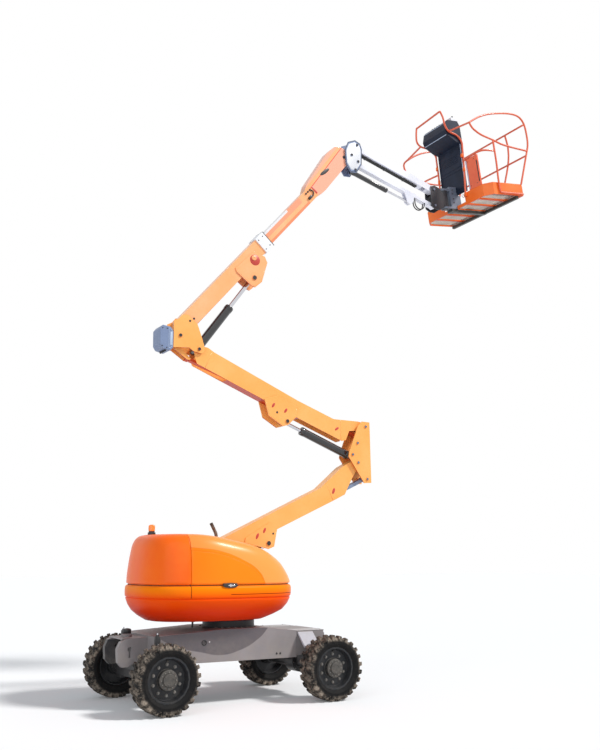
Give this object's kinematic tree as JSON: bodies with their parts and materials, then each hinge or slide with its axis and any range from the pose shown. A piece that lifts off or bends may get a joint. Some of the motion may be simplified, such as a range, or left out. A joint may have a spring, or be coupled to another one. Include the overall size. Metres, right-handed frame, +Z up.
{
  "type": "articulating boom lift",
  "caption": "Wheeled articulating boom lift: a turning turret, folding riser arms, a telescopic boom, a jib and a caged work platform, with steering, lifting and levelling joints.",
  "frame": {"origin": "on the ground, in the middle plane, halfway between the axles", "axes": "+X toward the end the platform hangs over and the rear axle, +Y toward the side away from the picture's camera, +Z up"},
  "size_m": [7.7636, 2.292, 10.5751],
  "materials": {
    "orange_paint": "gloss paint",
    "rail_paint": "satin paint",
    "grey_paint": "satin paint",
    "white_paint": "satin paint",
    "box_paint": "satin paint",
    "navy_plastic": "matte",
    "amber_lens": "clear gloss",
    "black_steel": "black satin",
    "dark_rim": "dark satin",
    "tyre_rubber": "matte",
    "bright_rod": "polished",
    "rusty_pipe": "weathered",
    "galvanised": "galvanised"
  },
  "bodies": {
    "chassis": {"chassis_frame": "grey_paint", "front_axle": "black_steel", "rear_axle": "black_steel", "slew_ring": "black_steel"},
    "knuckle_near": {"steer_knuckle_near": "black_steel"},
    "knuckle_far": {"steer_knuckle_far": "black_steel"},
    "track_rod": {"track_rod": "black_steel"},
    "wheel_front_near": {"rim_front_near": "dark_rim", "tyre_front_near": "tyre_rubber"},
    "wheel_front_far": {"rim_front_far": "dark_rim", "tyre_front_far": "tyre_rubber"},
    "wheel_rear_near": {"rim_rear_near": "dark_rim", "tyre_rear_near": "tyre_rubber"},
    "wheel_rear_far": {"rim_rear_far": "dark_rim", "tyre_rear_far": "tyre_rubber"},
    "turret": {"turret_frame": "black_steel", "turret_bowl": "orange_paint", "counterweight": "orange_paint", "engine_block": "black_steel", "beacon_base": "black_steel", "beacon_lens": "amber_lens", "exhaust_pipe": "rusty_pipe"},
    "hood_near": {"hood_near": "orange_paint"},
    "hood_far": {"hood_far": "orange_paint"},
    "arm_1": {"arm_1": "orange_paint"},
    "tie_1": {"tie_1": "box_paint"},
    "knuckle_1": {"knuckle_1": "orange_paint"},
    "arm_2": {"arm_2": "orange_paint"},
    "tie_2": {"tie_2": "box_paint"},
    "knuckle_2": {"knuckle_2": "orange_paint", "end_box": "box_paint"},
    "main_boom": {"main_boom": "orange_paint", "boom_collar": "white_paint"},
    "extension": {"boom_extension": "orange_paint"},
    "jib_base": {"jib_base": "box_paint"},
    "jib": {"jib": "white_paint"},
    "jib_link": {"jib_link": "white_paint"},
    "jib_head": {"jib_head": "black_steel"},
    "platform": {"platform_support": "black_steel", "platform_floor": "rail_paint", "floor_grating": "galvanised", "platform_rails": "rail_paint", "console": "navy_plastic", "control_box": "white_paint", "rear_panel": "rail_paint"},
    "barrel_arm_1": {"cylinder_barrel_arm_1": "black_steel"},
    "rod_arm_1": {"cylinder_rod_arm_1": "bright_rod"},
    "barrel_arm_2": {"cylinder_barrel_arm_2": "black_steel"},
    "rod_arm_2": {"cylinder_rod_arm_2": "bright_rod"},
    "barrel_boom": {"cylinder_barrel_boom": "black_steel"},
    "rod_boom": {"cylinder_rod_boom": "bright_rod"},
    "barrel_jib": {"cylinder_barrel_jib": "black_steel"},
    "rod_jib": {"cylinder_rod_jib": "bright_rod"}
  },
  "joints": [
    {"name": "steer_near", "type": "hinge", "parent": "chassis", "child": "knuckle_near", "pos_m": [-1.3, -0.72, 0.46], "axis": [0, 0, 1], "range_deg": [-25, 25]},
    {"name": "steer_far", "type": "hinge", "parent": "chassis", "child": "knuckle_far", "pos_m": [-1.3, 0.72, 0.46], "axis": [0, 0, 1], "range_deg": [-25, 25]},
    {"name": "track_rod_slide", "type": "slide", "parent": "chassis", "child": "track_rod", "axis": [0, 1, 0], "range_m": [-0.058, 0.058]},
    {"name": "wheel_front_near_spin", "type": "hinge", "parent": "knuckle_near", "child": "wheel_front_near", "pos_m": [-1.3, -0.98, 0.46], "axis": [0, 1, 0], "continuous": true},
    {"name": "wheel_front_far_spin", "type": "hinge", "parent": "knuckle_far", "child": "wheel_front_far", "pos_m": [-1.3, 0.98, 0.46], "axis": [0, 1, 0], "continuous": true},
    {"name": "wheel_rear_near_spin", "type": "hinge", "parent": "chassis", "child": "wheel_rear_near", "pos_m": [1.3, -0.98, 0.46], "axis": [0, 1, 0], "continuous": true},
    {"name": "wheel_rear_far_spin", "type": "hinge", "parent": "chassis", "child": "wheel_rear_far", "pos_m": [1.3, 0.98, 0.46], "axis": [0, 1, 0], "continuous": true},
    {"name": "slew", "type": "hinge", "parent": "chassis", "child": "turret", "pos_m": [0.1, 0, 1.131], "axis": [0, 0, 1], "continuous": true},
    {"name": "hood_near_open", "type": "hinge", "parent": "turret", "child": "hood_near", "pos_m": [-0.6, -0.213, 2.37], "axis": [-0.9804, 0, 0.1969], "range_deg": [0, 50]},
    {"name": "hood_far_open", "type": "hinge", "parent": "turret", "child": "hood_far", "pos_m": [-0.6, 0.213, 2.37], "axis": [0.9804, 0, -0.1969], "range_deg": [0, 50]},
    {"name": "arm1_lift", "type": "hinge", "parent": "turret", "child": "arm_1", "pos_m": [-0.535, 0, 2.237], "axis": [0, -1, 0], "range_deg": [-22.5, 35]},
    {"name": "tie_1_swing", "type": "hinge", "parent": "turret", "child": "tie_1", "pos_m": [-0.355, 0, 1.967], "axis": [0, -1, 0], "range_deg": [-22.5, 35]},
    {"name": "knuckle_1_level", "type": "hinge", "parent": "arm_1", "child": "knuckle_1", "pos_m": [2.4105, 0, 3.6105], "axis": [0, -1, 0], "range_deg": [-35, 22.5]},
    {"name": "arm2_lift", "type": "hinge", "parent": "knuckle_1", "child": "arm_2", "pos_m": [2.57, 0, 4.23], "axis": [0, 1, 0], "range_deg": [-17, 45]},
    {"name": "tie_2_swing", "type": "hinge", "parent": "knuckle_1", "child": "tie_2", "pos_m": [2.44, 0, 4.08], "axis": [0, 1, 0], "range_deg": [-17, 45]},
    {"name": "knuckle_2_level", "type": "hinge", "parent": "arm_2", "child": "knuckle_2", "pos_m": [-0.55, 0, 5.21], "axis": [0, 1, 0], "range_deg": [-45, 17]},
    {"name": "boom_lift", "type": "hinge", "parent": "knuckle_2", "child": "main_boom", "pos_m": [-0.87, 0, 5.39], "axis": [0, -1, 0], "range_deg": [-43, 26]},
    {"name": "boom_extend", "type": "slide", "parent": "main_boom", "child": "extension", "axis": [0.6521, 0, 0.7581], "range_m": [-1.15, 0]},
    {"name": "platform_level", "type": "hinge", "parent": "extension", "child": "jib_base", "pos_m": [2.38, 0, 9.2], "axis": [0, -1, 0], "range_deg": [-26, 43]},
    {"name": "jib_lift", "type": "hinge", "parent": "jib_base", "child": "jib", "pos_m": [2.5, 0, 9.42], "axis": [0, -1, 0], "range_deg": [-46, 53]},
    {"name": "jib_link_swing", "type": "hinge", "parent": "jib_base", "child": "jib_link", "pos_m": [2.52, 0, 9.1], "axis": [0, -1, 0], "range_deg": [-46, 53]},
    {"name": "jib_head_level", "type": "hinge", "parent": "jib", "child": "jib_head", "pos_m": [4.3, 0, 8.97], "axis": [0, -1, 0], "range_deg": [-53, 46]},
    {"name": "platform_rotate", "type": "hinge", "parent": "jib_head", "child": "platform", "pos_m": [4.61204, 0, 8.8653], "axis": [-0.1564, 0, 0.9877], "range_deg": [-80, 80]},
    {"name": "barrel_arm_1_swing", "type": "hinge", "parent": "turret", "child": "barrel_arm_1", "pos_m": [-0.45, 0, 1.3], "axis": [0, -1, 0], "range_deg": [-14.8, 22.75]},
    {"name": "rod_arm_1_slide", "type": "slide", "parent": "barrel_arm_1", "child": "rod_arm_1", "axis": [0.7731, 0, 0.6343], "range_m": [-0.2923, 0.4491]},
    {"name": "barrel_arm_2_swing", "type": "hinge", "parent": "knuckle_1", "child": "barrel_arm_2", "pos_m": [2.3, 0, 3.74], "axis": [0, -1, 0], "range_deg": [-43.68, 16.81]},
    {"name": "rod_arm_2_slide", "type": "slide", "parent": "barrel_arm_2", "child": "rod_arm_2", "axis": [-0.936, 0, 0.3519], "range_m": [-0.1714, 0.4373]},
    {"name": "barrel_boom_swing", "type": "hinge", "parent": "knuckle_2", "child": "barrel_boom", "pos_m": [-0.55, 0, 5.21], "axis": [0, -1, 0], "range_deg": [-46.82, 28.51]},
    {"name": "rod_boom_slide", "type": "slide", "parent": "barrel_boom", "child": "rod_boom", "axis": [0.5893, 0, 0.8079], "range_m": [-0.261, 0.1618]},
    {"name": "barrel_jib_swing", "type": "hinge", "parent": "jib_base", "child": "barrel_jib", "pos_m": [2.46, 0, 8.926], "axis": [0, -1, 0], "range_deg": [-45.56, 52.42]},
    {"name": "rod_jib_slide", "type": "slide", "parent": "barrel_jib", "child": "rod_jib", "axis": [0.973, 0, -0.2308], "range_m": [-0.1451, 0.1656]}
  ],
  "couplings": [
    {"joint": "steer_far", "follows": "steer_near", "ratio": 1},
    {"joint": "track_rod_slide", "follows": "steer_near", "m_per_rad": 0.13},
    {"joint": "tie_1_swing", "follows": "arm1_lift", "ratio": 1},
    {"joint": "knuckle_1_level", "follows": "arm1_lift", "ratio": -1},
    {"joint": "tie_2_swing", "follows": "arm2_lift", "ratio": 1},
    {"joint": "knuckle_2_level", "follows": "arm2_lift", "ratio": -1},
    {"joint": "platform_level", "follows": "boom_lift", "ratio": -1},
    {"joint": "jib_link_swing", "follows": "jib_lift", "ratio": 1},
    {"joint": "jib_head_level", "follows": "jib_lift", "ratio": -1},
    {"joint": "barrel_arm_1_swing", "follows": "arm1_lift", "ratio": 0.63576},
    {"joint": "rod_arm_1_slide", "follows": "arm1_lift", "m_per_rad": 0.71889},
    {"joint": "barrel_arm_2_swing", "follows": "arm2_lift", "ratio": -0.95956},
    {"joint": "rod_arm_2_slide", "follows": "arm2_lift", "m_per_rad": 0.544},
    {"joint": "barrel_boom_swing", "follows": "boom_lift", "ratio": 1.0773},
    {"joint": "rod_boom_slide", "follows": "boom_lift", "m_per_rad": 0.33444},
    {"joint": "barrel_jib_swing", "follows": "jib_lift", "ratio": 0.97954},
    {"joint": "rod_jib_slide", "follows": "jib_lift", "m_per_rad": 0.16824}
  ]
}
